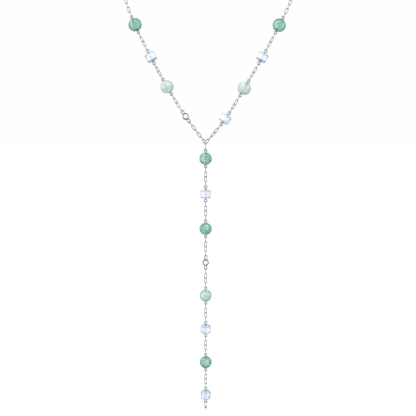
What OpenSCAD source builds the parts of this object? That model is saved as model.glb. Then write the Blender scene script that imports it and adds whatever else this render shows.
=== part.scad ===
// Y necklace: a fine cable chain round the neck, fourteen beads on eye pins,
// two small stones in round settings, and a straight drop from the point of the V.
// Worn position: +Z is up, the wearer looks along -Y, and the origin is the point
// of the clasp that rests on the nape.

/* [Chain] */
// Distance from one link to the next, from contact to contact
link_pitch = 2.29; // [2:0.01:2.6]
// Outer width of a link
link_w = 1.5; // [1.4:0.01:1.7]
// Wire of a link
link_wire = 0.33; // [0.3:0.01:0.38]
// Play where two wires hook into each other
link_play = 0.15; // [0.12:0.01:0.16]
// How far the six links beside the junction on the left ride up, together
left_slack = 0.95; // [0:0.05:1.6]
// How far the four links below the left rondelle ride up, together
left_gap_slack = 1.05; // [0:0.05:1.2]

/* [Eye pins] */
// Wire of the shank that passes through a bead
shank_wire = 0.38; // [0.3:0.01:0.4]
// Wire of the turned eyes
eye_wire = 0.45; // [0.42:0.01:0.48]
// Outer diameter of the eyes beside a round bead
small_eye_d = 1.7; // [1.65:0.01:2]
// Outer diameter of the eyes beside a rondelle
large_eye_d = 1.85; // [1.7:0.01:2.3]
// Diameter of the wrapped collar between a rondelle and its eye
collar_d = 1.05; // [0.9:0.05:1.6]
// Height of the wrapped collar
collar_h = 0.3; // [0.2:0.05:0.6]
// How far an eye is let into its collar
collar_seat = 0.18; // [0.14:0.01:0.22]
// Play between an eye or collar and its bead
bead_play = 0.1; // [0.1:0.01:0.2]
// Play round the shank in the drilled hole of a bead
drill_play = 0.21; // [0.1:0.01:0.3]

/* [Round beads] */
// Diameter of the four beads beside the neck
side_bead_d = 6.5; // [5:0.1:8]
// Height of the four beads beside the neck, along the hole
side_bead_h = 6; // [4.5:0.05:7.5]
// Diameter of the four beads of the drop
drop_bead_d = 6.1; // [5:0.1:8]
// Height of the four beads of the drop, along the hole
drop_bead_h = 5.7; // [4.5:0.05:7.5]
// Flat round the hole of a round bead
bead_flat_d = 1.7; // [1.4:0.1:2.4]
// Facets round a bead
bead_sides = 12; // [10:1:16]
// Rows of facet corners between the two flats
bead_rows = 5; // [5:1:7]

/* [Rondelles] */
// Diameter of a rondelle across its corners
rondelle_d = 5.1; // [4.8:0.1:7]
// Height of a rondelle, along the hole
rondelle_h = 3.8; // [3:0.1:5]
// Diameter of its flat ends
rondelle_end_d = 4.5; // [3:0.1:4.9]
// Height of the bevelled facets at each end
rondelle_bevel = 0.35; // [0.2:0.05:1]
// Facets round a rondelle
rondelle_sides = 12; // [10:1:16]

/* [Stone settings] */
// Outer diameter of a setting
setting_d = 3.1; // [2.8:0.1:4]
// Depth of a setting, front to back
setting_h = 1.7; // [1.5:0.1:2.4]
// Wall of a setting
setting_wall = 0.3; // [0.25:0.05:0.45]
// Width of the ledge that carries the stone
ledge_w = 0.12; // [0.1:0.01:0.2]
// Depth of the rim in front of the ledge
rim_h = 0.6; // [0.4:0.05:0.9]
// Play between the stone and its setting
stone_play = 0.08; // [0.07:0.01:0.1]
// Facets round the stone
stone_sides = 12; // [8:1:16]
// Diameter of the stone's table
table_d = 1.35; // [0.8:0.05:1.6]
// Height of the stone's crown
crown_h = 0.38; // [0.2:0.02:0.6]
// Thickness of the stone's girdle
girdle_h = 0.1; // [0.06:0.01:0.2]
// Depth of the stone's pavilion
pavilion_h = 0.95; // [0.6:0.05:1.1]
// Outer length of the soldered ears
ear_l = 2.45; // [2:0.05:3]
// Outer width of the soldered ears
ear_w = 1.65; // [1.6:0.05:2]
// How far an ear is let into the setting
ear_seat = 0.24; // [0.1:0.02:0.28]

/* [Junction and drop end] */
// Wire of the jump ring at the junction
junction_wire = 0.42; // [0.38:0.01:0.5]
// Clear width of the jump ring
junction_gap_w = 1.45; // [1.4:0.05:2]
// Clear length of the jump ring, from the side links to the drop
junction_gap_l = 3.25; // [2.6:0.05:5]
// Play between the two side links in the jump ring
junction_play = 0.21; // [0.12:0.01:0.25]
// Diameter of the ball at the end of the drop
ball_d = 1.3; // [0.8:0.05:2]
// Outer length of the loop that carries the ball
ball_loop_l = 2.9; // [2:0.1:4]

/* [Clasp] */
// Diameter of the barrel clasp
clasp_d = 3.4; // [2.6:0.1:5]
// Length of the barrel
clasp_l = 8; // [5:0.5:14]
// Bevel at each end of the barrel
clasp_bevel = 0.5; // [0.2:0.1:1]
// Outer diameter of the rings at its ends
clasp_ring_d = 2; // [1.8:0.1:3]

/* [Hidden] */
$fn = 48;

// Where the jump ring hangs, below and in front of the nape
junction = [0, -95, -139];

// Chosen points of each side: up the V, over the collar bones, round to the nape
left_points = [
    [-9.5, -93.5, -126.5], [-18, -91.5, -113], [-26, -89.5, -98.5], [-33.5, -87.5, -83.5],
    [-38, -85.5, -72], [-43, -80.5, -58.5], [-48.5, -72, -45], [-52.5, -58, -31],
    [-53, -40.5, -18.5], [-45, -20.5, -8.5], [-28, -5, -2.5]
];
right_points = [
    [9.5, -93.5, -127.5], [18.5, -91.5, -113], [27, -89.5, -98.5], [35, -87.5, -83.5],
    [40.5, -85.5, -72], [44.5, -80.5, -58.5], [49, -72, -45], [52.5, -58, -31],
    [53, -40.5, -18.5], [45, -20.5, -8.5], [28, -5, -2.5]
];

// The V leans back by this angle, so its front looks slightly upwards
v_lean = 8;
v_front = [0, -cos(v_lean), sin(v_lean)];

silver = [0.78, 0.78, 0.8];
green = [0.45, 0.72, 0.65];
pale_green = [0.72, 0.84, 0.8];
ice = [0.85, 0.9, 0.97];

// Kinds of piece that a strand is made of
LINK = 0;
SIDE_BEAD = 1;
DROP_BEAD = 2;
RONDELLE = 3;
SETTING = 4;
BALL = 5;

// Strands
LEFT = 0;
RIGHT = 1;
DROP = 2;

// Every bead on an eye pin: name, strand, kind, number along the strand and colour
BEADS = [
    ["left_pale_bead", LEFT, SIDE_BEAD, 0, pale_green],
    ["left_rondelle", LEFT, RONDELLE, 0, ice],
    ["left_green_bead", LEFT, SIDE_BEAD, 1, green],
    ["right_lower_rondelle", RIGHT, RONDELLE, 0, ice],
    ["right_pale_bead", RIGHT, SIDE_BEAD, 0, pale_green],
    ["right_upper_rondelle", RIGHT, RONDELLE, 1, ice],
    ["right_green_bead", RIGHT, SIDE_BEAD, 1, green],
    ["drop_green_bead_1", DROP, DROP_BEAD, 0, green],
    ["drop_rondelle_1", DROP, RONDELLE, 0, ice],
    ["drop_green_bead_2", DROP, DROP_BEAD, 1, green],
    ["drop_pale_bead", DROP, DROP_BEAD, 2, pale_green],
    ["drop_rondelle_2", DROP, RONDELLE, 1, ice],
    ["drop_green_bead_3", DROP, DROP_BEAD, 3, green],
    ["drop_rondelle_3", DROP, RONDELLE, 2, ice]
];
// Every stone setting: name and strand
SETTINGS = [["left_setting", LEFT], ["drop_setting", DROP]];

// Sizes that follow from the ones above
nape = [0, clasp_d / 2, 0];
link_l = link_pitch + link_play + 2 * link_wire;
drill_d = shank_wire + 2 * drill_play;
eye_reach = eye_wire + link_play / 2;
small_eye_span = bead_play + small_eye_d - eye_reach;
large_eye_span = bead_play + collar_h + large_eye_d - eye_reach;
setting_ear_span = ear_l - ear_seat - eye_reach;
clasp_half = clasp_l / 2 + clasp_ring_d - eye_wire / 2 - eye_reach;
junction_spread = link_wire + junction_play;
inside_junction = (junction_wire + link_play) / 2;
bore_d = setting_d - 2 * setting_wall;
stone_d = bore_d - 2 * stone_play;
culet_share = 0.08;
ledge_d = bore_d - 2 * ledge_w;
stone_lift = stone_play + max(0, pavilion_h * (1 - ledge_d / stone_d) / (1 - culet_share));

// Small vector helpers
function unit(v) = v / norm(v);
function square_to(v, axis) = unit(v - (v * axis) * axis);
function turned(face, axis, angle) = face * cos(angle) + cross(axis, face) * sin(angle);
function running_sum(v, i = 0, total = 0, out = [0]) =
    i == len(v) ? out
    : let(next = total + v[i]) running_sum(v, i + 1, next, concat(out, [next]));
function last_of(v) = v[len(v) - 1];

// A smooth curve through the chosen points, as closely spaced points; beyond names
// the point that it would go on to
curve_steps = 16;
function curve_point(a, b, c, d, t) =
    0.5 * (2 * b + (c - a) * t + (2 * a - 5 * b + 4 * c - d) * t * t
        + (3 * b - a - 3 * c + d) * t * t * t);
function curve(p, beyond) = concat(
    [for (i = [0:len(p) - 2], k = [0:curve_steps - 1])
        let(a = i == 0 ? 2 * p[0] - p[1] : p[i - 1])
        let(d = i == len(p) - 2 ? beyond : p[i + 2])
        curve_point(a, p[i], p[i + 1], d, k / curve_steps)],
    [last_of(p)]);
function lengths(c) = running_sum([for (i = [0:len(c) - 2]) norm(c[i + 1] - c[i])]);
function along(c, marks, s) =
    s < 0 ? c[0] + s * unit(c[1] - c[0])
    : [for (k = [0:2]) lookup(s, [for (i = [0:len(c) - 1]) [marks[i], c[i][k]]])];

// Each piece of a strand is [kind, span, turn from the piece before]
span_of = [
    link_pitch,
    side_bead_h + 2 * small_eye_span,
    drop_bead_h + 2 * small_eye_span,
    rondelle_h + 2 * large_eye_span,
    setting_d + 2 * setting_ear_span,
    ball_loop_l
];
right_angle = 90;
// The four links between two beads come round to a full turn at the next bead. The outer
// two stand nearly edge-on, which leaves the smaller turns for the links between them
gap_links = 4;
outer_turn = 87;
inner_turn = (360 - 2 * outer_turn) / (gap_links - 1);
function links(n, turn = right_angle, span = link_pitch) =
    [for (i = [1:n]) [LINK, span, turn]];
function bead(kind, turn = outer_turn) = [[kind, span_of[kind], turn]];
function gap(slack = 0) =
    let(span = link_pitch - slack / gap_links)
    concat(links(1, outer_turn, span), links(gap_links - 1, inner_turn, span));
function spans(pieces) = [for (p = pieces) p[1]];
function reach(pieces) = last_of(running_sum(spans(pieces)));

// The part of each strand that carries beads, from the junction outwards
left_first = 6;
left_front = concat(
    links(left_first, right_angle, link_pitch - left_slack / left_first),
    bead(SETTING, right_angle),
    gap(), bead(SIDE_BEAD), gap(left_gap_slack), bead(RONDELLE), gap(), bead(SIDE_BEAD));
right_front = concat(
    links(1), gap(), bead(RONDELLE),
    gap(), bead(SIDE_BEAD), gap(), bead(RONDELLE), gap(), bead(SIDE_BEAD));
drop_pieces = concat(
    bead(DROP_BEAD, 0), gap(), bead(RONDELLE), gap(), bead(DROP_BEAD), gap(), bead(SETTING),
    gap(), bead(DROP_BEAD), gap(), bead(RONDELLE), gap(), bead(DROP_BEAD), gap(),
    bead(RONDELLE), bead(BALL, right_angle));

// Each side ends in line with the clasp
function side_curve(side, points) =
    let(q = last_of(points))
    curve(concat([junction + [0, side * junction_spread / 2, 0]], points,
        [nape + [side * clasp_half, 0, 0]]), [-q.x, q.y, q.z]);
left_curve = side_curve(-1, left_points);
right_curve = side_curve(1, right_points);
left_marks = lengths(left_curve);
right_marks = lengths(right_curve);

// Plain links fill the way to the clasp. Their number is odd, so that the last one
// stands square to the clasp's ring
function back_links(marks, front) =
    let(left_over = last_of(marks) + inside_junction - reach(front))
    let(n = 2 * ceil((left_over / link_pitch - 1) / 2) + 1)
    links(n, right_angle, left_over / n);
left_pieces = concat(left_front, back_links(left_marks, left_front));
right_pieces = concat(right_front, back_links(right_marks, right_front));

// Joints between the pieces, then the middle, direction, face and front of each piece.
// The first piece of a strand shows its face to the front
function side_joints(c, marks, pieces) =
    [for (s = running_sum(spans(pieces))) along(c, marks, s - inside_junction)];
drop_joints = [for (s = running_sum(spans(drop_pieces)))
    junction - [0, 0, junction_gap_l + s]];
function directions(j) = [for (i = [0:len(j) - 2]) unit(j[i + 1] - j[i])];
function fronts(dirs, front, i = 0, out = []) =
    i == len(dirs) ? out
    : let(next = square_to(front, dirs[i])) fronts(dirs, next, i + 1, concat(out, [next]));
function frames(j, pieces, front) =
    let(dirs = directions(j), front_of = fronts(dirs, front))
    let(turns = running_sum([for (p = pieces) p[2]]))
    [for (i = [0:len(pieces) - 1])
        [(j[i] + j[i + 1]) / 2, dirs[i],
            turned(front_of[i], dirs[i], turns[i + 1] - turns[1]), front_of[i]]];
left_frames = frames(side_joints(left_curve, left_marks, left_pieces), left_pieces, v_front);
right_frames =
    frames(side_joints(right_curve, right_marks, right_pieces), right_pieces, v_front);
drop_frames = frames(drop_joints, drop_pieces, [0, -1, 0]);
strand_pieces = [left_pieces, right_pieces, drop_pieces];
strand_frames = [left_frames, right_frames, drop_frames];

// The frame of the nth piece of a kind along a strand
function place(strand, kind, n) =
    let(pieces = strand_pieces[strand])
    strand_frames[strand][[for (i = [0:len(pieces) - 1]) if (pieces[i][0] == kind) i][n]];

// Puts a piece made along Z, facing -Y, into a frame, turned like its links or not
module at(frame, linked = true) {
    z = frame[1];
    y = linked ? -frame[2] : -frame[3];
    x = cross(y, z);
    c = frame[0];
    multmatrix([[x.x, y.x, z.x, c.x], [x.y, y.y, z.y, c.y], [x.z, y.z, z.z, c.z]])
        children();
}

module half_ring(radius, wire) {
    rotate([90, 0, 0])
        rotate_extrude(angle = 180)
            translate([radius, 0])
                circle(d = wire);
}

module oval_ring(length, width, wire) {
    radius = (width - wire) / 2;
    straight = length - width;
    translate([0, 0, straight / 2])
        half_ring(radius, wire);
    translate([0, 0, -straight / 2])
        rotate([0, 180, 0])
            half_ring(radius, wire);
    for (x = [-radius, radius])
        translate([x, 0, -straight / 2])
            cylinder(d = wire, h = straight);
}

module round_ring(diameter, wire) {
    rotate([90, 0, 0])
        rotate_extrude()
            translate([(diameter - wire) / 2, 0])
                circle(d = wire);
}

// The cable links of a strand, from one piece to another
module chain(strand, first, last) {
    color(silver)
        for (i = [first:last])
            if (strand_pieces[strand][i][0] == LINK)
                at(strand_frames[strand][i])
                    oval_ring(link_l, link_w, link_wire);
}

// A closed stack of rings of corners, each turned half a step from the one before it,
// given as [radius, height] from the bottom up
function facet_corners(rows, sides) =
    [for (i = [0:len(rows) - 1], k = [0:sides - 1])
        let(a = (k + i / 2) * 360 / sides)
        [rows[i][0] * cos(a), rows[i][0] * sin(a), rows[i][1]]];
function facet_faces(count, sides) = concat(
    [[for (k = [0:sides - 1]) k]],
    [for (i = [0:count - 2], k = [0:sides - 1])
        [i * sides + k, (i + 1) * sides + k, i * sides + (k + 1) % sides]],
    [for (i = [0:count - 2], k = [0:sides - 1])
        [(i + 1) * sides + k, (i + 1) * sides + (k + 1) % sides, i * sides + (k + 1) % sides]],
    [[for (k = [sides - 1:-1:0]) (count - 1) * sides + k]]);
module faceted(rows, sides) {
    polyhedron(points = facet_corners(rows, sides), faces = facet_faces(len(rows), sides));
}

module drilled(height) {
    difference() {
        children();
        translate([0, 0, -height])
            cylinder(d = drill_d, h = 2 * height);
    }
}

module round_bead(diameter, height) {
    // The rows of corners lie at even angles between the two flats
    edge = acos(bead_flat_d / diameter);
    corner_rows = [for (i = [0:bead_rows + 1])
        let(a = edge * (2 * i / (bead_rows + 1) - 1))
        [diameter / 2 * cos(a), height / 2 * sin(a) / sin(edge)]];
    drilled(height)
        faceted(corner_rows, bead_sides);
}

module rondelle() {
    end_r = rondelle_end_d / 2;
    belt_r = rondelle_d / 2;
    end_z = rondelle_h / 2;
    belt_z = end_z - rondelle_bevel;
    drilled(rondelle_h)
        faceted([[end_r, -end_z], [belt_r, -belt_z], [belt_r, belt_z], [end_r, end_z]],
            rondelle_sides);
}

// An eye pin along Z through a bead of the given height
module eye_pin(height, eye_d, collar) {
    face_z = height / 2 + bead_play;
    eye_z = face_z + eye_d / 2 + (collar ? collar_h : 0);
    shank_z = eye_z - eye_d / 2 + eye_wire / 2;
    translate([0, 0, -shank_z])
        cylinder(d = shank_wire, h = 2 * shank_z);
    for (side = [-1, 1]) {
        translate([0, 0, side * eye_z])
            round_ring(eye_d, eye_wire);
        if (collar)
            translate([0, 0, side > 0 ? face_z : -face_z - collar_h - collar_seat])
                cylinder(d = collar_d, h = collar_h + collar_seat);
    }
}

// A drilled bead or rondelle, named in BEADS
module bead_piece(b) {
    color(b[4])
        at(place(b[1], b[2], b[3]), false)
            if (b[2] == RONDELLE)
                rondelle();
            else if (b[2] == SIDE_BEAD)
                round_bead(side_bead_d, side_bead_h);
            else
                round_bead(drop_bead_d, drop_bead_h);
}

// The eye pin of a bead or rondelle
module pin_piece(b) {
    color(silver)
        at(place(b[1], b[2], b[3]))
            if (b[2] == RONDELLE)
                eye_pin(rondelle_h, large_eye_d, true);
            else
                eye_pin(b[2] == SIDE_BEAD ? side_bead_h : drop_bead_h, small_eye_d, false);
}

// A round setting, open at the back, with an ear above and below
module setting(strand) {
    ear_z = setting_d / 2 - ear_seat + ear_l / 2;
    color(silver)
        at(place(strand, SETTING, 0), false)
            difference() {
                union() {
                    rotate([90, 0, 0])
                        cylinder(d = setting_d, h = setting_h, center = true);
                    for (side = [-1, 1])
                        translate([0, 0, side * ear_z])
                            oval_ring(ear_l, ear_w, eye_wire);
                }
                translate([0, rim_h - setting_h / 2, 0])
                    rotate([90, 0, 0])
                        cylinder(d = bore_d, h = setting_h);
                rotate([90, 0, 0])
                    cylinder(d = ledge_d, h = 2 * setting_h, center = true);
            }
}

// A faceted stone that stands just clear of its setting's ledge
module stone(strand) {
    girdle_r = stone_d / 2;
    color(ice)
        at(place(strand, SETTING, 0), false)
            translate([0, rim_h - setting_h / 2 - stone_lift, 0])
                rotate([90, 0, 0])
                    faceted([[girdle_r * culet_share, -pavilion_h], [girdle_r, 0],
                        [girdle_r, girdle_h], [table_d / 2, girdle_h + crown_h]], stone_sides);
}

// Oval jump ring that stands edge-on, with the side links at its top
module junction_ring() {
    width = junction_gap_w + 2 * junction_wire;
    centre_r = (width - junction_wire) / 2;
    // To a whole hundredth, so that its bends and straights meet exactly
    crown = ceil(100 * (centre_r - sqrt(pow(centre_r, 2) - pow(junction_spread / 2, 2)))) / 100;
    top = junction.z + crown + junction_wire / 2;
    bottom = junction.z - junction_gap_l - link_play / 2 - junction_wire;
    color(silver)
        translate([junction.x, junction.y, (top + bottom) / 2])
            rotate([0, 0, 90])
                oval_ring(top - bottom, width, junction_wire);
}

// The loop that hangs in the lowest eye, with a ball at its foot
module end_ball() {
    top = ball_loop_l / 2 + link_play / 2 + link_wire;
    color(silver)
        at(last_of(drop_frames)) {
            translate([0, 0, ball_loop_l / 2 - top])
                oval_ring(ball_loop_l, link_w, link_wire);
            translate([0, 0, ball_loop_l / 2])
                sphere(d = ball_d);
        }
}

// A plain barrel with a ring at each end, lying across the nape
module clasp() {
    barrel_z = clasp_l / 2;
    across = [1, 0, 0];
    ring_front = square_to(last_of(left_frames)[3], across);
    color(silver)
        at([nape, across, ring_front, ring_front]) {
            translate([0, 0, clasp_bevel - barrel_z])
                cylinder(d = clasp_d, h = clasp_l - 2 * clasp_bevel);
            for (side = [0, 1])
                mirror([0, 0, side]) {
                    translate([0, 0, barrel_z - clasp_bevel])
                        cylinder(d1 = clasp_d, d2 = clasp_d - 2 * clasp_bevel, h = clasp_bevel);
                    translate([0, 0, barrel_z + clasp_ring_d / 2 - eye_wire / 2])
                        round_ring(clasp_ring_d, eye_wire);
                }
        }
}

chain(LEFT, 0, len(left_front) - 1);  // left_chain
chain(RIGHT, 0, len(right_front) - 1);  // right_chain
chain(DROP, 0, len(drop_pieces) - 1);  // drop_chain
chain(LEFT, len(left_front), len(left_pieces) - 1);  // back_left_chain
chain(RIGHT, len(right_front), len(right_pieces) - 1);  // back_right_chain
junction_ring();
end_ball();
clasp();
for (s = SETTINGS) {
    setting(s[1]);
    stone(s[1]);
}
for (b = BEADS) {
    bead_piece(b);
    pin_piece(b);
}
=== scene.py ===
"""Y necklace: the looks of every piece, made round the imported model.

All sizes below are in millimetres and become metres where a mesh is made. Each piece
takes its place from the CAD node that it stands for, so nothing here is placed by eye.
"""

import math

import bmesh
import bpy
import numpy as np
from mathutils import Matrix, Vector


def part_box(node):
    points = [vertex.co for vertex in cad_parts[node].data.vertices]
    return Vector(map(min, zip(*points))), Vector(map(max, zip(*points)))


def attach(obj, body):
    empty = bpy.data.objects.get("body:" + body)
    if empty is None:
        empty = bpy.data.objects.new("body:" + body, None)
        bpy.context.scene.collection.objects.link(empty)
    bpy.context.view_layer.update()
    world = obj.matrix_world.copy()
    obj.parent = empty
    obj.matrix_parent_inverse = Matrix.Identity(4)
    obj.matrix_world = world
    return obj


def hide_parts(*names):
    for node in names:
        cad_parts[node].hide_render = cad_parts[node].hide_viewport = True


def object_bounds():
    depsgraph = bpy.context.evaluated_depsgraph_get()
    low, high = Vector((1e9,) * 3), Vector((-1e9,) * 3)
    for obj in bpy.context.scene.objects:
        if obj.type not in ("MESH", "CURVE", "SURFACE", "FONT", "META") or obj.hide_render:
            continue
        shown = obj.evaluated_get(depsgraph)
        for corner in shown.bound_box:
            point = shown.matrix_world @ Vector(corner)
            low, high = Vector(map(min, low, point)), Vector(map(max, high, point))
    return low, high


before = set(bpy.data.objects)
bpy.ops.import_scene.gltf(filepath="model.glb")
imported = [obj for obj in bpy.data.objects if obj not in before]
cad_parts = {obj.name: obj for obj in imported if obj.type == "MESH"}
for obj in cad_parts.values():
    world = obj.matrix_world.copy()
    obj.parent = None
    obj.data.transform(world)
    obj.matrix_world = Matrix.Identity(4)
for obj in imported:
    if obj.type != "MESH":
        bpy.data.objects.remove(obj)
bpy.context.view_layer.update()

MM = 0.001
FRONT = Vector((0, -1, 0))
UP = Vector((0, 0, 1))

# The sizes that the solids have. A bead's and a rondelle's are its width and height
LINK_LENGTH, LINK_WIDTH, LINK_WIRE = 3.1, 1.5, 0.33
SHANK_WIRE, EYE_WIRE = 0.38, 0.45
SMALL_EYE, LARGE_EYE = 1.7, 1.85
COLLAR_WIDTH, COLLAR_HEIGHT, COLLAR_SEAT = 1.05, 0.3, 0.18
BEAD_PLAY, HOLE = 0.1, 0.8
SIDE_BEAD, DROP_BEAD = (6.5, 6), (6.1, 5.7)
BEAD_FLAT, BEAD_SIDES, BEAD_ROWS = 1.7, 12, 5
RONDELLE, RONDELLE_END, RONDELLE_BEVEL, RONDELLE_SIDES = (5.1, 3.8), 4.5, 0.35, 12
SETTING_WIDTH, SETTING_DEPTH, SETTING_WALL = 3.1, 1.7, 0.3
LEDGE_WIDTH, RIM_DEPTH = 0.12, 0.6
EAR_LENGTH, EAR_WIDTH, EAR_SEAT = 2.45, 1.65, 0.24
STONE_WIDTH, STONE_TABLE = 2.34, 1.35
STONE_CROWN, STONE_GIRDLE, STONE_PAVILION = 0.38, 0.1, 0.95
JUNCTION_WIRE = 0.42
BALL, BALL_LOOP = 1.3, 2.9
CLASP_WIDTH, CLASP_LENGTH, CLASP_BEVEL, CLASP_RING = 3.4, 8, 0.5, 2

# Details that only the visible pieces have
FACET_SOFTENING, RIM_SOFTENING = 0.05, 0.05
EYE_TURN = 0.985
COLLAR_WIRE, COLLAR_TURNS = 0.3, 1.6
CLASP_SEAM = 0.12
# A stone's inner rings of corners, as shares of its width and of its crown or pavilion
STAR_WIDTH, STAR_HEIGHT = 1.04, 0.56
CULET_WIDTH, CULET_DEPTH = 0.28, 0.76

# How finely round things are made
WIRE_SIDES, JUNCTION_SIDES, COLLAR_SIDES = 12, 14, 10
LOOP_STEPS, RING_STEPS = 12, 16
EYE_STEPS, COLLAR_STEPS, LATHE_STEPS = 32, 30, 64
BALL_STEPS = 32, 20


# Materials

def linear(hex_colour):
    """An sRGB hex colour as a linear one, for a shader's socket."""
    parts = [int(hex_colour[i:i + 2], 16) / 255 for i in (1, 3, 5)]
    return [c / 12.92 if c <= 0.04045 else ((c + 0.055) / 1.055) ** 2.4 for c in parts] + [1]


def add(tree, kind, inputs=None, **settings):
    """Adds a node. inputs gives a socket, by name or number, its value or what it reads."""
    node = tree.nodes.new(kind)
    for name, value in settings.items():
        setattr(node, name, value)
    for name, value in (inputs or {}).items():
        if isinstance(value, bpy.types.NodeSocket):
            tree.links.new(value, node.inputs[name])
        else:
            node.inputs[name].default_value = value
    return node


def new_material(name):
    """A material with an empty tree, the tree, and its Object coordinates in metres."""
    material = bpy.data.materials.new(name)
    material.use_nodes = True
    material.node_tree.nodes.clear()
    tree = material.node_tree
    place = add(tree, "ShaderNodeTexCoord").outputs["Object"]
    return material, tree, place


def close(tree, shader):
    """Gives the material's output its shader."""
    add(tree, "ShaderNodeOutputMaterial", {"Surface": shader.outputs[0]})


def silver(name, smoothest, roughest, mirror):
    """Rhodium-plated sterling silver. The wire is tumbled bright: the eye sees a nearly
    white mirror, darker where wires cross, with the faint marks of tumbling that break up
    its reflections. The barrel is blasted to satin: a soft white-grey with no clear
    reflection. mirror is the share of the surface that still acts as bare metal."""
    material, tree, place = new_material(name)
    # Tumbling marks every 0.12 mm and a slow unevenness of the hand-bent wire, 1.5 mm
    marks = add(tree, "ShaderNodeTexNoise",
                {"Vector": place, "Scale": 1 / (0.12 * MM), "Detail": 3})
    waves = add(tree, "ShaderNodeTexNoise",
                {"Vector": place, "Scale": 1 / (1.5 * MM), "Detail": 1})
    polish = add(tree, "ShaderNodeMapRange",
                 {"Value": marks.outputs["Fac"], "From Min": 0.3, "From Max": 0.7,
                  "To Min": smoothest, "To Max": roughest})
    tone = add(tree, "ShaderNodeMix", {"Factor": waves.outputs["Fac"],
               6: linear("#e4e3e1"), 7: linear("#f4f3f1")}, data_type="RGBA")
    dents = add(tree, "ShaderNodeBump", {"Height": marks.outputs["Fac"],
                "Strength": 0.15, "Distance": 0.004 * MM})
    close(tree, add(tree, "ShaderNodeBsdfPrincipled", {
        "Base Color": tone.outputs["Result"], "Metallic": mirror,
        "Roughness": polish.outputs["Result"], "Normal": dents.outputs["Normal"]}))
    return material


def green_quartz(name, clear, cloud, veil, rim_shade_tint, share, milky):
    """Dyed quartz cut as a bead and polished: light goes in, is coloured on its way and clouded by
    veils, and comes out pale in the middle. The deep green at the rim is painted shade, from a
    tinted coat.

    clear and cloud are its palest and deepest colour, veil and share the colour of the veils and
    how dense they are, the fifth colour the tint of the coat, which paints a deeper green at the
    rim as shade, and milky takes from clearness."""
    material, tree, place = new_material(name)
    # Clouds about 2 mm across, with threads of 0.5 mm in them
    clouds = add(tree, "ShaderNodeTexNoise", {"Vector": place, "Scale": 1 / (2 * MM),
                 "Detail": 3, "Roughness": 0.5, "Distortion": 0.6}).outputs["Fac"]
    threads = add(tree, "ShaderNodeTexNoise", {"Vector": place, "Scale": 1 / (0.5 * MM),
                  "Detail": 2, "Distortion": 1.5}).outputs["Fac"]
    tone = add(tree, "ShaderNodeMapRange", {"Value": clouds, "From Min": 0.4,
               "From Max": 0.6}).outputs["Result"]
    colour = add(tree, "ShaderNodeMix", {"Factor": tone, 6: linear(cloud),
                 7: linear(clear)}, data_type="RGBA").outputs["Result"]
    veiled = add(tree, "ShaderNodeMapRange", {"Value": threads, "From Min": 0.5,
                 "From Max": 0.65, "To Max": share}).outputs["Result"]
    colour = add(tree, "ShaderNodeMix", {"Factor": veiled, 6: colour,
                 7: linear(veil)}, data_type="RGBA").outputs["Result"]
    glassy = add(tree, "ShaderNodeMapRange", {"Value": clouds, "From Min": 0.35,
                 "From Max": 0.65, "To Min": 0.85 - milky,
                 "To Max": 0.6 - milky}).outputs["Result"]
    # The wall of the drilled hole is ground white, neither dyed nor clear, and hides the pin
    bore = add(tree, "ShaderNodeAttribute", attribute_name="frosted").outputs["Fac"]
    colour = add(tree, "ShaderNodeMix", {"Factor": bore, 6: colour, 7: linear("#ffffff")},
                 data_type="RGBA").outputs["Result"]
    glassy = add(tree, "ShaderNodeMath", {0: glassy, 1: bore}, operation="SUBTRACT",
                 use_clamp=True).outputs[0]
    skin = add(tree, "ShaderNodeMath", {0: 1, 1: bore}, operation="SUBTRACT").outputs[0]
    rough = add(tree, "ShaderNodeMapRange", {"Value": bore, "To Min": 0.12, "To Max": 0.4})
    dents = add(tree, "ShaderNodeBump", {"Height": threads, "Strength": 0.15,
                "Distance": 0.02 * MM}).outputs["Normal"]
    # The coat's tint paints shade: seen aslant, at the rim, the bead turns deeper green, in place
    # of the darkening that refraction through the facets gives
    close(tree, add(tree, "ShaderNodeBsdfPrincipled", {
        "Base Color": colour, "Roughness": rough.outputs["Result"], "IOR": 1.54,
        "Transmission Weight": glassy, "Coat Weight": skin, "Coat IOR": 1.08,
        "Coat Roughness": 0.1, "Coat Tint": linear(rim_shade_tint), "Normal": dents}))
    return material


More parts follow.
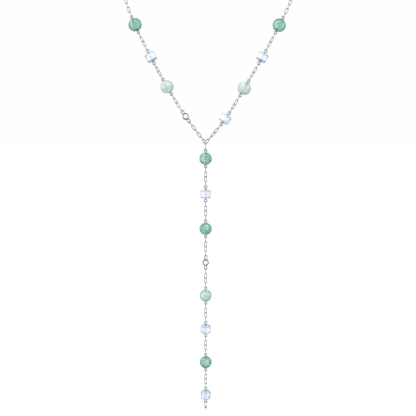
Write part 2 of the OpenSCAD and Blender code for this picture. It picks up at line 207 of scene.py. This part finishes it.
def cut_crystal():
    """Cut lead crystal with a breath of blue: clear and bright in the middle. A pale blue band at
    each end is painted shade, standing in for the darkening that refraction through the bevel
    facets gives."""
    material, tree, place = new_material("pale blue cut crystal")
    # Faint layers of colour, 2 mm apart, and polishing lines every 0.15 mm
    layers = add(tree, "ShaderNodeTexNoise", {"Vector": place, "Scale": 1 / (2 * MM),
                 "Detail": 2, "Distortion": 0.5})
    lines = add(tree, "ShaderNodeTexNoise", {"Vector": place, "Scale": 1 / (0.15 * MM),
                "Detail": 2})
    tint = add(tree, "ShaderNodeMix", {"Factor": layers.outputs["Fac"],
               6: linear("#eff7fe"), 7: linear("#fbfdff")}, data_type="RGBA")
    polish = add(tree, "ShaderNodeMapRange", {"Value": lines.outputs["Fac"],
                 "To Min": 0.02, "To Max": 0.08})
    # Painted shade: towards each end the rondelle is tinted a darker blue and made less clear, in
    # place of the shade that its bevels give by refraction
    level = add(tree, "ShaderNodeAttribute", attribute_name="height").outputs["Fac"]
    level = add(tree, "ShaderNodeMath", {0: level}, operation="ABSOLUTE").outputs[0]
    painted_end_shade = add(tree, "ShaderNodeMapRange", {"Value": level, "From Min": 0.52,
               "From Max": 0.8}, interpolation_type="SMOOTHSTEP").outputs["Result"]
    tint = add(tree, "ShaderNodeMix", {"Factor": painted_end_shade, 6: tint.outputs["Result"],
               7: linear("#bdd3ea")}, data_type="RGBA")
    bore = add(tree, "ShaderNodeAttribute", attribute_name="frosted").outputs["Fac"]
    rough = add(tree, "ShaderNodeMix", {"Factor": bore, 2: polish.outputs["Result"], 3: 0.3})
    # The glass is a little opal, most of all between the layers, and less clear in the painted end
    # shade; its hole is ground white
    glassy = add(tree, "ShaderNodeMapRange", {"Value": layers.outputs["Fac"],
                 "From Min": 0.35, "From Max": 0.65, "To Min": 0.42,
                 "To Max": 0.75}).outputs["Result"]
    glassy = add(tree, "ShaderNodeMix", {"Factor": painted_end_shade, 2: glassy, 3: 0.5}).outputs["Result"]
    glassy = add(tree, "ShaderNodeMath", {0: glassy, 1: bore}, operation="SUBTRACT",
                 use_clamp=True).outputs[0]
    close(tree, add(tree, "ShaderNodeBsdfPrincipled", {
        "Base Color": tint.outputs["Result"], "Roughness": rough.outputs["Result"],
        "IOR": 1.56, "Transmission Weight": glassy}))
    return material


def clear_stone():
    """Colourless white topaz, brilliant cut: light, with small sparks of white and grey."""
    material, tree, place = new_material("clear brilliant stone")
    # Polishing lines every 0.1 mm
    lines = add(tree, "ShaderNodeTexNoise", {"Vector": place, "Scale": 1 / (0.1 * MM),
                "Detail": 2})
    polish = add(tree, "ShaderNodeMapRange", {"Value": lines.outputs["Fac"],
                 "To Min": 0.0, "To Max": 0.03})
    close(tree, add(tree, "ShaderNodeBsdfPrincipled", {
        "Base Color": linear("#ffffff"), "Roughness": polish.outputs["Result"],
        "IOR": 1.62, "Transmission Weight": 0.42}))
    return material


SILVER = silver("polished silver wire", 0.08, 0.2, 1)
SATIN = silver("satin silver barrel", 0.3, 0.45, 0.8)
# The fifth colour of each quartz is its coat tint: painted shade that deepens the rim
GREEN = green_quartz("green quartz", "#fafffd", "#bce6dd", "#f9f5f4", "#cfe7e1", 0.7, 0)
PALE = green_quartz("pale green quartz", "#f3f1ef", "#dde8e4", "#f6f3f2", "#eff7f4", 0.7, 0.14)
LIGHT = green_quartz("light green quartz", "#f3f4f2", "#cfe3dc", "#f6f3f2", "#e9f5f1", 0.7, 0.1)
CRYSTAL = cut_crystal()
BRILLIANT = clear_stone()


# Reading the frame

def part_frames(node):
    """Middle and main directions of each loose part of a CAD node, longest one first.

    They come from the area of the surface and not from its points, so they don't
    depend on how the node was meshed."""
    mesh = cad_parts[node].data
    mesh.calc_loop_triangles()
    points = np.empty(len(mesh.vertices) * 3)
    mesh.vertices.foreach_get("co", points)
    points = points.reshape(-1, 3)
    corners = np.empty(len(mesh.loop_triangles) * 3, dtype=np.int64)
    mesh.loop_triangles.foreach_get("vertices", corners)
    # The triangles share no points, so points in the same place are made one
    _, same = np.unique(np.round(points / 1e-7).astype(np.int64), axis=0, return_inverse=True)
    triangles = same.ravel()[corners].reshape(-1, 3)
    label = np.arange(triangles.max() + 1)
    while True:
        lowest = label[triangles].min(axis=1)
        new = label.copy()
        for side in range(3):
            np.minimum.at(new, triangles[:, side], lowest)
        new = new[new]
        if (new == label).all():
            break
        label = new
    part = np.unique(label[triangles[:, 0]], return_inverse=True)[1].ravel()
    shape = points[corners].reshape(-1, 3, 3)
    area = np.linalg.norm(np.cross(shape[:, 1] - shape[:, 0], shape[:, 2] - shape[:, 0]),
                          axis=1) / 2
    total = shape.sum(axis=1)
    frames = []
    for k in range(part.max() + 1):
        mine = part == k
        a, t, s = area[mine], total[mine], shape[mine]
        middle = (a[:, None] * t / 3).sum(axis=0) / a.sum()
        s = s - middle
        t = t - 3 * middle
        spread = (np.einsum("n,nij,nik->jk", a, s, s) + np.einsum("n,nj,nk->jk", a, t, t)) / 12
        values, ways = np.linalg.eigh(spread)
        frames.append((Vector(middle), [Vector(ways[:, i]) for i in (2, 1, 0)]))
    return frames


def node_place(node):
    """The place of a node of one part: Z along it, and Y away from the front."""
    middle, (length, width, across) = part_frames(node)[0]
    z = length if length.dot(UP) > 0 else -length
    y = across if across.dot(FRONT) < 0 else -across
    x = y.cross(z)
    return Matrix.Translation(middle) @ Matrix((x, y, z)).transposed().to_4x4()


# Shapes

def to_mesh(name, build):
    """A mesh in metres from what build draws in millimetres."""
    shape = bmesh.new()
    build(shape)
    bmesh.ops.scale(shape, vec=(MM, MM, MM), verts=shape.verts)
    mesh = bpy.data.meshes.new(name)
    shape.to_mesh(mesh)
    shape.free()
    return mesh


def rings(shape, rows, closed):
    """Faces between rings of points. rows is a list of rings with the same number of
    points each; closed joins the last ring to the first."""
    verts = [[shape.verts.new(p) for p in row] for row in rows]
    count = len(verts)
    made = []
    for i in range(count if closed else count - 1):
        a, b = verts[i], verts[(i + 1) % count]
        for k in range(len(a)):
            j = (k + 1) % len(a)
            made.append(shape.faces.new((a[k], a[j], b[j], b[k])))
    for face in made:
        face.smooth = True
    return verts


def turned(shape, profile, closed):
    """A profile of (radius, height) points turned round Z. A closed one joins its last
    point to its first, and an open one starts and ends on Z."""
    rings(shape, [[(r * math.cos(a), r * math.sin(a), z)
                   for a in (2 * math.pi * k / LATHE_STEPS for k in range(LATHE_STEPS))]
                  for r, z in profile], closed)


def tube(shape, path, wire, sides, closed):
    """A wire of one thickness along a path of points, with flat ends if it has any."""
    count = len(path)
    points = [Vector(p) for p in path]
    side = None
    rows = []
    for i, p in enumerate(points):
        before = points[i - 1] if i or closed else p
        after = points[(i + 1) % count] if i < count - 1 or closed else p
        way = (after - before).normalized()
        if side is None:
            side = way.orthogonal()
            if abs(way.y) < 0.9:
                side = Vector((0, 1, 0))
        side = (side - side.dot(way) * way).normalized()
        other = way.cross(side)
        rows.append([p + wire / 2 * (math.cos(a) * side + math.sin(a) * other)
                     for a in (2 * math.pi * k / sides for k in range(sides))])
    verts = rings(shape, rows, closed)
    if not closed:
        shape.faces.new(verts[0][::-1])
        shape.faces.new(verts[-1])


def oval(length, width, wire, steps):
    """Points of an oval of wire round the Y axis, long way along Z."""
    radius, straight = (width - wire) / 2, (length - width) / 2
    half = [(radius * math.cos(a), 0, radius * math.sin(a) + straight)
            for a in (math.pi * k / steps for k in range(steps + 1))]
    return half + [(-x, y, -z) for x, y, z in half]


def wire_loop(shape, length, width, wire, steps, middle):
    """An oval of wire with its middle at a height."""
    path = [(x, y, z + middle) for x, y, z in oval(length, width, wire, steps)]
    tube(shape, path, wire, WIRE_SIDES, True)


def finished(name, mesh, material, node, place=None):
    """Makes a mesh a piece of the necklace that stands for a CAD node."""
    if place is not None:
        mesh.transform(place)
    shape = bmesh.new()
    shape.from_mesh(mesh)
    bmesh.ops.remove_doubles(shape, verts=shape.verts, dist=1e-7)
    bmesh.ops.recalc_face_normals(shape, faces=shape.faces)
    shape.to_mesh(mesh)
    shape.free()
    if not mesh.materials:
        mesh.materials.append(material)
    piece = bpy.data.objects.new(name, mesh)
    bpy.context.scene.collection.objects.link(piece)
    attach(piece, "root")
    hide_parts(node)
    return piece


# Chain

def chain_tree():
    """Geometry nodes that set a soldered oval link on every point, turned as it says."""
    tree = bpy.data.node_groups.new("cable chain", "GeometryNodeTree")
    side = tree.interface
    side.new_socket("Link middles", in_out="INPUT", socket_type="NodeSocketGeometry")
    for name in ("Link length", "Link width", "Wire thickness"):
        side.new_socket(name, in_out="INPUT", socket_type="NodeSocketFloat")
    for name in ("Steps in a bend", "Sides of the wire"):
        side.new_socket(name, in_out="INPUT", socket_type="NodeSocketInt")
    side.new_socket("Finish", in_out="INPUT", socket_type="NodeSocketMaterial")
    side.new_socket("Chain", in_out="OUTPUT", socket_type="NodeSocketGeometry")
    given = add(tree, "NodeGroupInput").outputs

    def reckon(kind, a, b):
        return add(tree, "ShaderNodeMath", {0: a, 1: b}, operation=kind).outputs[0]

    wide = reckon("SUBTRACT", given["Link width"], given["Wire thickness"])
    long = reckon("SUBTRACT", given["Link length"], given["Wire thickness"])
    outline = add(tree, "GeometryNodeCurvePrimitiveQuadrilateral",
                  {"Width": wide, "Height": long})
    bends = add(tree, "GeometryNodeFilletCurve", {
        "Curve": outline.outputs["Curve"], "Radius": reckon("MULTIPLY", wide, 0.4999),
        "Count": given["Steps in a bend"]}, mode="POLY")
    wire = add(tree, "GeometryNodeCurvePrimitiveCircle", {
        "Resolution": given["Sides of the wire"],
        "Radius": reckon("MULTIPLY", given["Wire thickness"], 0.5)})
    link = add(tree, "GeometryNodeCurveToMesh", {
        "Curve": bends.outputs["Curve"], "Profile Curve": wire.outputs["Curve"]})
    merged = add(tree, "GeometryNodeMergeByDistance",
                 {"Geometry": link.outputs["Mesh"], "Distance": 0.01 * MM})
    turn = add(tree, "GeometryNodeInputNamedAttribute", {"Name": "turn"},
               data_type="FLOAT_VECTOR")
    angles = add(tree, "FunctionNodeEulerToRotation", {0: turn.outputs["Attribute"]})
    placed = add(tree, "GeometryNodeInstanceOnPoints", {
        "Points": given["Link middles"], "Instance": merged.outputs["Geometry"],
        "Rotation": angles.outputs[0]})
    real = add(tree, "GeometryNodeRealizeInstances", {"Geometry": placed.outputs["Instances"]})
    smooth = add(tree, "GeometryNodeSetShadeSmooth", {"Geometry": real.outputs["Geometry"]})
    dressed = add(tree, "GeometryNodeSetMaterial", {
        "Geometry": smooth.outputs["Geometry"], "Material": given["Finish"]})
    add(tree, "NodeGroupOutput", {"Chain": dressed.outputs["Geometry"]})
    return tree


def chain(tree, name, node, bend_steps, wire_sides):
    """The links of one CAD chain node."""
    frames = part_frames(node)
    points = bpy.data.meshes.new(name)
    points.from_pydata([middle for middle, _ in frames], [], [])
    turns = points.attributes.new("turn", "FLOAT_VECTOR", "POINT")
    for k, (_, (length, width, across)) in enumerate(frames):
        # The link is drawn flat, with its length along Y
        x = length.cross(across)
        turn = Matrix((x, length, across)).transposed()
        turns.data[k].vector = turn.to_euler()
    holder = bpy.data.objects.new(name, points)
    bpy.context.scene.collection.objects.link(holder)
    nodes = holder.modifiers.new("links", "NODES")
    nodes.node_group = tree
    values = {"Link length": LINK_LENGTH * MM, "Link width": LINK_WIDTH * MM,
              "Wire thickness": LINK_WIRE * MM, "Steps in a bend": bend_steps,
              "Sides of the wire": wire_sides, "Finish": SILVER}
    for item in tree.interface.items_tree:
        if item.name in values:
            nodes[item.identifier] = values[item.name]
    seen = holder.evaluated_get(bpy.context.evaluated_depsgraph_get())
    mesh = bpy.data.meshes.new_from_object(seen)
    bpy.data.objects.remove(holder)
    mesh.name = name
    finished(name, mesh, SILVER, node)


links = chain_tree()
for name in ("left_chain", "right_chain", "drop_chain"):
    chain(links, name + "_links", name, bend_steps=6, wire_sides=10)
# The stretch behind the neck has twice as many links, so they are plainer
for name in ("back_left_chain", "back_right_chain"):
    chain(links, name + "_links", name, bend_steps=4, wire_sides=7)


# Beads and pins

def drilled(shape, rows, sides):
    """A faceted bead with a drilled hole. rows gives (radius, height) of each ring of
    corners, each ring turned half a step from the one before."""
    def ring(radius, height, shift):
        return [(radius * math.cos(a), radius * math.sin(a), height)
                for a in (2 * math.pi * (k + shift / 2) / sides for k in range(sides))]
    loops = [ring(r, z, i) for i, (r, z) in enumerate(rows)]
    verts = [[shape.verts.new(p) for p in loop] for loop in loops]
    edges = set()
    for i in range(len(rows) - 1):
        for k in range(sides):
            a, b = verts[i], verts[i + 1]
            j = (k + 1) % sides
            for corners in ((a[k], a[j], b[k]), (b[k], a[j], b[j])):
                face = shape.faces.new(corners)
                edges.update(face.edges)
    hole = [[shape.verts.new(p) for p in ring(HOLE / 2, rows[i][1], i if i else 0)]
            for i in (0, len(rows) - 1)]
    frosted = shape.faces.layers.float.new("frosted")
    for k in range(sides):
        j = (k + 1) % sides
        shape.faces.new((verts[0][j], verts[0][k], hole[0][k], hole[0][j]))
        shape.faces.new((verts[-1][k], verts[-1][j], hole[1][j], hole[1][k]))
        wall = shape.faces.new((hole[0][k], hole[1][k], hole[1][j], hole[0][j]))
        wall.smooth = True
        wall[frosted] = 1
    # The polished facets meet in edges that are just softened
    bmesh.ops.bevel(shape, geom=list(edges), offset=FACET_SOFTENING, segments=1,
                    affect="EDGES", clamp_overlap=True)
    # How far along the bead each point lies, from -1 to 1
    level = shape.verts.layers.float.new("height")
    for corner in shape.verts:
        corner[level] = corner.co.z / rows[-1][1]


def round_bead(size):
    """Rows of corners of a round bead, between the flats round its hole."""
    width, height = size
    edge = math.acos(BEAD_FLAT / width)
    rows = []
    for i in range(BEAD_ROWS + 2):
        a = edge * (2 * i / (BEAD_ROWS + 1) - 1)
        rows.append((width / 2 * math.cos(a), height / 2 * math.sin(a) / math.sin(edge)))
    return rows


def rondelle_rows():
    """Rows of corners of a rondelle: a straight belt with a bevel at each end."""
    end, belt = RONDELLE_END / 2, RONDELLE[0] / 2
    top = RONDELLE[1] / 2
    return [(end, -top), (belt, RONDELLE_BEVEL - top), (belt, top - RONDELLE_BEVEL), (end, top)]


def eye_pin(shape, height, eye, collar):
    """A pin of wire with a turned eye at each end, and above a rondelle a wrapped neck."""
    face = height / 2 + BEAD_PLAY
    middle = face + eye / 2 + (COLLAR_HEIGHT if collar else 0)
    radius = (eye - EYE_WIRE) / 2
    foot = middle - radius
    tube(shape, [(0, 0, z) for z in (-foot, foot)], SHANK_WIRE, WIRE_SIDES, False)
    for way in (1, -1):
        loop = []
        for k in range(EYE_STEPS + 1):
            a = -math.pi / 2 + 2 * math.pi * k / EYE_STEPS * EYE_TURN
            loop.append((radius * math.cos(a) * way, 0, way * (middle + radius * math.sin(a))))
        tube(shape, loop, EYE_WIRE, WIRE_SIDES, False)
        if collar:
            coil = []
            for k in range(COLLAR_STEPS + 1):
                a = 2 * math.pi * COLLAR_TURNS * k / COLLAR_STEPS
                rise = (COLLAR_HEIGHT + COLLAR_SEAT - COLLAR_WIRE) * k / COLLAR_STEPS
                r = (COLLAR_WIDTH - COLLAR_WIRE) / 2
                coil.append((r * math.cos(a), r * math.sin(a),
                             way * (face + COLLAR_WIRE / 2 + rise)))
            tube(shape, coil, COLLAR_WIRE, COLLAR_SIDES, False)


for node in sorted(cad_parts):
    if not node.endswith("_pin"):
        continue
    bead = node[:-len("_pin")]
    in_drop = bead.startswith("drop")
    if "rondelle" in bead:
        size, rows, sides, eye, collar = RONDELLE, rondelle_rows(), RONDELLE_SIDES, LARGE_EYE, True
        stone, slot = CRYSTAL, "ice_crystal"
    else:
        size, sides, eye, collar = DROP_BEAD if in_drop else SIDE_BEAD, BEAD_SIDES, SMALL_EYE, False
        rows = round_bead(size)
        stone, slot = GREEN, "green_stone"
        if "pale" in bead:
            stone, slot = LIGHT if in_drop else PALE, "pale_green_stone"
    place = node_place(node)
    finished(bead + "_eye_pin", to_mesh(node, lambda s: eye_pin(s, size[1], eye, collar)),
             SILVER, node, place)
    finished(bead + "_cut", to_mesh(bead, lambda s: drilled(s, rows, sides)),
             stone, bead, place)


# Settings and stones

def setting(shape):
    """A turned cup, open at the back, with its rim rolled in, and two soldered ears."""
    outer, bore = SETTING_WIDTH / 2, SETTING_WIDTH / 2 - SETTING_WALL
    half, soft = SETTING_DEPTH / 2, RIM_SOFTENING
    ledge, ledge_z = bore - LEDGE_WIDTH, half - RIM_DEPTH
    profile = [(outer, soft - half), (outer, half - soft), (outer - soft, half),
               (bore + soft, half), (bore, half - soft), (bore, ledge_z), (ledge, ledge_z),
               (ledge, soft / 2 - half), (ledge + soft / 2, -half), (outer - soft, -half)]
    turned(shape, profile, closed=True)
    bmesh.ops.rotate(shape, verts=shape.verts, cent=(0, 0, 0),
                     matrix=Matrix.Rotation(math.pi / 2, 3, "X"))
    at = SETTING_WIDTH / 2 - EAR_SEAT + EAR_LENGTH / 2
    for way in (1, -1):
        wire_loop(shape, EAR_LENGTH, EAR_WIDTH, EYE_WIRE, LOOP_STEPS, way * at)


def brilliant(shape):
    """A round brilliant, its table towards -Y and its girdle at zero."""
    r = STONE_WIDTH / 2
    top = STONE_GIRDLE + STONE_CROWN

    def ring(radius, height, count, shift):
        return [(radius * math.cos(a), -height, radius * math.sin(a))
                for a in (2 * math.pi * (k + shift) / count for k in range(count))]
    points = (ring(STONE_TABLE / 2, top, 8, 0.5)
              + ring((STONE_TABLE / 2 + r) / 2 * STAR_WIDTH,
                     STONE_GIRDLE + STONE_CROWN * STAR_HEIGHT, 8, 0)
              + ring(r, STONE_GIRDLE, 16, 0) + ring(r, 0, 16, 0)
              + ring(r * CULET_WIDTH, -STONE_PAVILION * CULET_DEPTH, 8, 0.5)
              + [(0, STONE_PAVILION, 0)])
    bmesh.ops.convex_hull(shape, input=[shape.verts.new(p) for p in points])


for side in ("left", "drop"):
    node = side + "_setting"
    place = node_place(node)
    finished(node + "_cup", to_mesh(node, setting), SILVER, node, place)
    stone = node + "_stone"
    middle = part_frames(stone)[0][0]
    finished(stone + "_cut", to_mesh(stone, brilliant), BRILLIANT, stone,
             Matrix.Translation(middle) @ place.to_3x3().to_4x4())


# Junction, ball, clasp

def junction(shape):
    """The jump ring, an oval of wire that stands across the picture."""
    path = [(y, x, z) for x, y, z in oval(size.z, size.y, JUNCTION_WIRE, RING_STEPS)]
    tube(shape, path, JUNCTION_WIRE, JUNCTION_SIDES, True)


low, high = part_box("junction_ring")
size = (high - low) / MM
finished("junction_jump_ring", to_mesh("junction_ring", junction), SILVER, "junction_ring",
         Matrix.Translation((low + high) / 2))


def end_ball(shape):
    """A loop of wire with a ball melted on its lower end."""
    wire_loop(shape, BALL_LOOP, LINK_WIDTH, LINK_WIRE, LOOP_STEPS, (tall - BALL_LOOP) / 2)
    bmesh.ops.create_uvsphere(shape, u_segments=BALL_STEPS[0], v_segments=BALL_STEPS[1],
                              radius=BALL / 2,
                              matrix=Matrix.Translation((0, 0, (BALL - tall) / 2)))
    for face in shape.faces:
        face.smooth = True


low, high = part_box("end_ball")
tall = (high.z - low.z) / MM
finished("end_ball_and_loop", to_mesh("end_ball", end_ball), SILVER, "end_ball",
         Matrix.Translation((low + high) / 2))


def clasp(shape):
    """A barrel whose two halves screw together at a fine seam, with a ring at each end."""
    r, end, bevel, seam = CLASP_WIDTH / 2, CLASP_LENGTH / 2, CLASP_BEVEL, CLASP_SEAM
    profile = [(0, -end), (r - bevel, -end), (r, bevel - end), (r, -seam), (r - seam, 0),
               (r, seam), (r, end - bevel), (r - bevel, end), (0, end)]
    turned(shape, profile, closed=False)
    at = end + (CLASP_RING - EYE_WIRE) / 2
    for way in (1, -1):
        wire_loop(shape, CLASP_RING, CLASP_RING, EYE_WIRE, RING_STEPS, way * at)


middle, (length, width, across) = part_frames("clasp")[0]
# The rings say how the barrel is turned: their wire lies in the clasp's wider plane
z = length if length.x > 0 else -length
x = width
finished("clasp_barrel", to_mesh("clasp", clasp), SATIN, "clasp",
         Matrix.Translation(middle) @ Matrix((x, z.cross(x), z)).transposed().to_4x4())


# Camera, light, floor

# The photograph: 8 degrees down on the V from 0.35 m, 0.48 mm to a pixel there
IMAGE, SENSOR, FOCAL_PIXELS, DOWN = 416, 36, 729, math.radians(8)
CAMERA_PLACE = Vector((1.14, -441.55, -121.37)) * MM
view = bpy.data.cameras.new("photograph")
view.sensor_width = SENSOR
view.lens = FOCAL_PIXELS * SENSOR / IMAGE
view.clip_start, view.clip_end = 0.01, 20
camera = bpy.data.objects.new("photograph", view)
camera.location = CAMERA_PLACE
camera.rotation_euler = (math.pi / 2 - DOWN, 0, 0)
bpy.context.scene.collection.objects.link(camera)
bpy.context.scene.camera = camera

# A pale floor of matt card 30 mm below the drop. It is lit through a little, like a light
# table, so that it is as white as the wall. Metal and stones see the studio and not the floor
FLOOR_REACH, FLOOR_BELOW, FLOOR_GLOW = 3, 0.03, 0.64
floor_mesh = bpy.data.meshes.new("floor")
reach, depth = FLOOR_REACH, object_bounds()[0].z - FLOOR_BELOW
floor_mesh.from_pydata([(-reach, -reach, depth), (reach, -reach, depth), (reach, reach, depth),
                        (-reach, reach, depth)], [], [(0, 1, 2, 3)])
floor = bpy.data.objects.new("floor", floor_mesh)
bpy.context.scene.collection.objects.link(floor)
material, tree, place = new_material("pale matt card")
# The fibre of the card shows as a faint unevenness, 3 mm wide
grain = add(tree, "ShaderNodeTexNoise", {"Vector": place, "Scale": 1 / (3 * MM)})
paper = add(tree, "ShaderNodeMix", {"Factor": grain.outputs["Fac"], 6: linear("#939393"),
            7: linear("#999999")}, data_type="RGBA")
close(tree, add(tree, "ShaderNodeBsdfPrincipled", {
    "Base Color": paper.outputs["Result"], "Roughness": 0.8,
    "Emission Color": linear("#ffffff"), "Emission Strength": FLOOR_GLOW}))
floor_mesh.materials.append(material)
floor.visible_glossy = floor.visible_transmission = False

# Bright-field light, as for glass: what shows through a stone is a white wall in front and
# behind, with blue-grey to the sides, above and below. Metal mirrors a room that is light
# round the necklace and dark above and below, with a dark place where the camera stands, so
# that upright wires look light and the bends of the links are drawn dark
world = bpy.data.worlds.new("bright field studio")
world.use_nodes = True
world.cycles.sampling_method = "NONE"
bpy.context.scene.world = world
tree = world.node_tree
tree.nodes.clear()
way = add(tree, "ShaderNodeTexCoord").outputs["Generated"]
toward = add(tree, "ShaderNodeSeparateXYZ", {"Vector": way})
ray = add(tree, "ShaderNodeLightPath").outputs


def shading(part, start, end, near, far):
    """A colour that goes from near to far as a direction turns towards one axis."""
    turn = add(tree, "ShaderNodeMath", {0: toward.outputs[part]}, operation="ABSOLUTE")
    share = add(tree, "ShaderNodeMapRange", {
        "Value": turn.outputs[0], "From Min": start, "From Max": end},
        interpolation_type="SMOOTHSTEP").outputs["Result"]
    return either(share, near, far)


def either(share, no, yes):
    """no where share is 0, yes where it is 1."""
    mix = add(tree, "ShaderNodeMix", {"Factor": share, 6: no, 7: yes}, data_type="RGBA")
    return mix.outputs["Result"]


# The room by how steeply a direction points, from -1, straight down, to 1, straight up
slope = add(tree, "ShaderNodeMapRange", {"Value": toward.outputs["Z"], "From Min": -1})
room = add(tree, "ShaderNodeValToRGB", {"Fac": slope.outputs["Result"]})
ROOM = ((-0.75, "#141414"), (-0.5, "#989898"), (-0.15, "#bebebe"), (-0.04, "#c6c6c6"),
        (0.05, "#f4f4f4"), (0.4, "#f0f0f0"), (0.7, "#141414"))
stops = room.color_ramp.elements
while len(stops) < len(ROOM):
    stops.new(1)
for stop, (steepness, tone) in zip(stops, ROOM):
    stop.position = (steepness + 1) / 2
    stop.color = linear(tone)
# What faces the lens mirrors the dark place that the camera stands in
lens = add(tree, "ShaderNodeMapRange", {
    "Value": toward.outputs["Y"], "From Min": -0.9, "From Max": -0.96},
    interpolation_type="SMOOTHSTEP").outputs["Result"]
mirrored = either(lens, room.outputs["Color"], linear("#303030"))
sides = shading("Z", 0.3, 0.6, linear("#a8c3de"), linear("#7f9fc0"))
through = shading("Y", 0.4, 0.85, sides, linear("#ffffff"))
# Light on matt surfaces comes evenly from all round
light = either(ray["Is Diffuse Ray"], mirrored, [1.15, 1.15, 1.15, 1])
light = either(ray["Is Transmission Ray"], light, through)
light = either(ray["Is Camera Ray"], light, linear("#fefefe"))
studio = add(tree, "ShaderNodeBackground", {"Color": light, "Strength": 1})
add(tree, "ShaderNodeOutputWorld", {"Surface": studio.outputs[0]})


def softbox(name, place, aim, size, watts):
    """A square studio light."""
    lamp = bpy.data.lights.new(name, "AREA")
    lamp.size, lamp.energy = size, watts
    holder = bpy.data.objects.new(name, lamp)
    holder.location = place
    holder.rotation_euler = (Vector(aim) - Vector(place)).to_track_quat("-Z", "Y").to_euler()
    holder.visible_glossy = False
    bpy.context.scene.collection.objects.link(holder)


softbox("softbox above", place=(-0.2, -0.5, 0.6), aim=(0, -0.09, -0.15), size=0.5, watts=7)

scene = bpy.context.scene
scene.view_settings.view_transform = "Standard"
scene.view_settings.look = "None"
